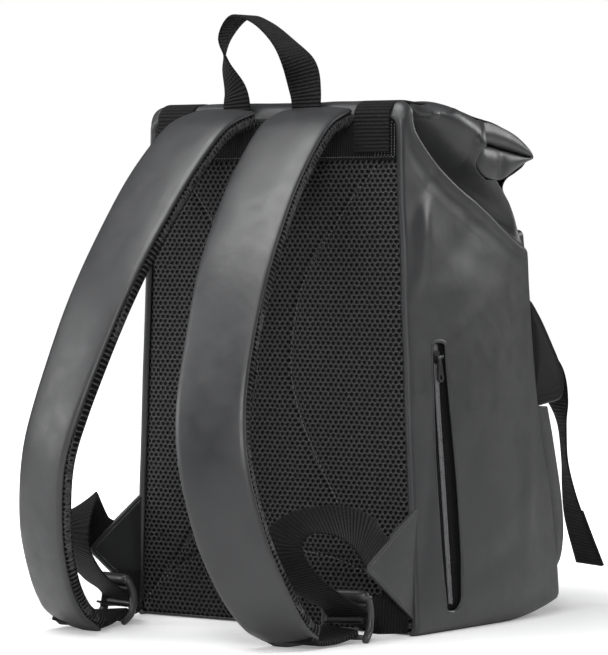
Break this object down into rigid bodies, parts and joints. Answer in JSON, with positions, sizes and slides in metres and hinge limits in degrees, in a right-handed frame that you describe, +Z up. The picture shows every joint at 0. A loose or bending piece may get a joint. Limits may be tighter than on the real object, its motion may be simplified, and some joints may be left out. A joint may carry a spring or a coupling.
{
  "type": "roll-top backpack",
  "caption": "Roll-top backpack in smooth dark leather with a padded mesh back, padded shoulder straps, webbing handle, side zip and front pockets.",
  "frame": {"origin": "centre of the underside of the base, where the bag stands", "axes": "+Z up, +Y towards the wearer's back, the pockets face -Y, +X towards the bag's left shoulder strap"},
  "size_m": [0.3226, 0.5326, 0.5422],
  "materials": {
    "leather": "smooth matte coated leather, fine grain",
    "air_mesh": "black spacer mesh with small holes",
    "webbing": "ribbed nylon webbing",
    "plastic": "fine matt moulding",
    "zip_fabric": "woven zip tape and gusset cloth",
    "zip_coil": "moulded nylon coil",
    "zip_metal": "black enamel",
    "lining": "plain woven lining",
    "board": "stiffener sheet",
    "foam": "closed-cell foam"
  },
  "bodies": {
    "bag": {"back_mesh_panel": "air_mesh", "back_board": "board", "yoke_band": "webbing", "side_panel_left": "leather", "side_panel_right": "leather", "front_panel": "leather", "base_panel": "leather", "base_board": "board", "top_collar": "leather", "rolled_top": "leather", "laptop_sleeve": "lining", "closure_strap_left": "webbing", "closure_strap_right": "webbing", "buckle_tab_left": "webbing", "buckle_tab_right": "webbing", "buckle_socket_left": "plastic", "buckle_socket_right": "plastic", "front_pocket": "leather", "front_pocket_gusset": "zip_fabric", "front_zip_tape": "zip_fabric", "front_zip_coil": "zip_coil", "lower_pocket": "leather", "side_zip_tape": "zip_fabric", "side_zip_coil": "zip_coil", "side_pocket_bag": "lining", "adjuster_webbing_left": "webbing", "adjuster_webbing_right": "webbing", "corner_wing_left": "leather", "corner_wing_right": "leather"},
    "handle": {"handle": "webbing"},
    "side_zip_slider": {"side_zip_slider": "zip_metal"},
    "side_zip_puller": {"side_zip_puller": "zip_metal"},
    "front_zip_slider": {"front_zip_slider": "zip_metal"},
    "front_zip_puller": {"front_zip_puller": "zip_metal"},
    "buckle_plug_left": {"buckle_plug_left": "plastic", "strap_drape_left": "webbing"},
    "strap_tail_left": {"strap_tail_left": "webbing"},
    "shoulder_strap_left": {"strap_leather_left": "leather", "strap_foam_left": "foam", "strap_mesh_left": "air_mesh", "strap_end_tab_left": "webbing"},
    "ladder_lock_left": {"ladder_lock_left": "plastic"},
    "buckle_plug_right": {"buckle_plug_right": "plastic", "strap_drape_right": "webbing"},
    "strap_tail_right": {"strap_tail_right": "webbing"},
    "shoulder_strap_right": {"strap_leather_right": "leather", "strap_foam_right": "foam", "strap_mesh_right": "air_mesh", "strap_end_tab_right": "webbing"},
    "ladder_lock_right": {"ladder_lock_right": "plastic"}
  },
  "joints": [
    {"name": "handle_swing", "type": "hinge", "parent": "bag", "child": "handle", "pos_m": [0, 0.1125, 0.456], "axis": [1, 0, 0], "range_deg": [-70, 55], "stiffness_Nm_per_rad": 0.08},
    {"name": "side_zip_slide", "type": "slide", "parent": "bag", "child": "side_zip_slider", "axis": [-0.0412, -0.0512, -0.9978], "range_m": [0, 0.2]},
    {"name": "side_puller_swing", "type": "hinge", "parent": "side_zip_slider", "child": "side_zip_puller", "pos_m": [-0.15167, 0.07233, 0.23984], "axis": [-0.0021, 0.9987, -0.0512], "range_deg": [0, 165]},
    {"name": "front_zip_slide", "type": "slide", "parent": "bag", "child": "front_zip_slider", "axis": [1, 0, 0], "range_m": [0, 0.13]},
    {"name": "front_puller_swing", "type": "hinge", "parent": "front_zip_slider", "child": "front_zip_puller", "pos_m": [-0.072, -0.11097, 0.26605], "axis": [0, -0.6742, -0.7385], "range_deg": [0, 150]},
    {"name": "buckle_release_left", "type": "slide", "parent": "bag", "child": "buckle_plug_left", "axis": [0, 0.1537, 0.9881], "range_m": [0, 0.024], "deforming": ["closure_strap_left"]},
    {"name": "tail_swing_left", "type": "hinge", "parent": "buckle_plug_left", "child": "strap_tail_left", "pos_m": [0.117, -0.15704, 0.218], "axis": [1, 0, 0], "range_deg": [-60, 0]},
    {"name": "shoulder_strap_swing_left", "type": "hinge", "parent": "bag", "child": "shoulder_strap_left", "pos_m": [0.051, 0.114, 0.452], "axis": [1, 0, 0], "range_deg": [-1, 12], "deforming": ["adjuster_webbing_left"]},
    {"name": "ladder_lock_tilt_left", "type": "hinge", "parent": "shoulder_strap_left", "child": "ladder_lock_left", "pos_m": [0.12661, 0.17843, 0.00468], "axis": [0.9703, -0.2419, 0], "range_deg": [-12, 12], "stiffness_Nm_per_rad": 0.02, "deforming": ["adjuster_webbing_left"]},
    {"name": "buckle_release_right", "type": "slide", "parent": "bag", "child": "buckle_plug_right", "axis": [0, 0.1537, 0.9881], "range_m": [0, 0.024], "deforming": ["closure_strap_right"]},
    {"name": "tail_swing_right", "type": "hinge", "parent": "buckle_plug_right", "child": "strap_tail_right", "pos_m": [-0.117, -0.15704, 0.218], "axis": [1, 0, 0], "range_deg": [-60, 0]},
    {"name": "shoulder_strap_swing_right", "type": "hinge", "parent": "bag", "child": "shoulder_strap_right", "pos_m": [-0.051, 0.114, 0.452], "axis": [1, 0, 0], "range_deg": [-1, 12], "deforming": ["adjuster_webbing_right"]},
    {"name": "ladder_lock_tilt_right", "type": "hinge", "parent": "shoulder_strap_right", "child": "ladder_lock_right", "pos_m": [-0.12661, 0.17843, 0.00468], "axis": [0.9703, 0.2419, 0], "range_deg": [-12, 12], "stiffness_Nm_per_rad": 0.02, "deforming": ["adjuster_webbing_right"]}
  ]
}
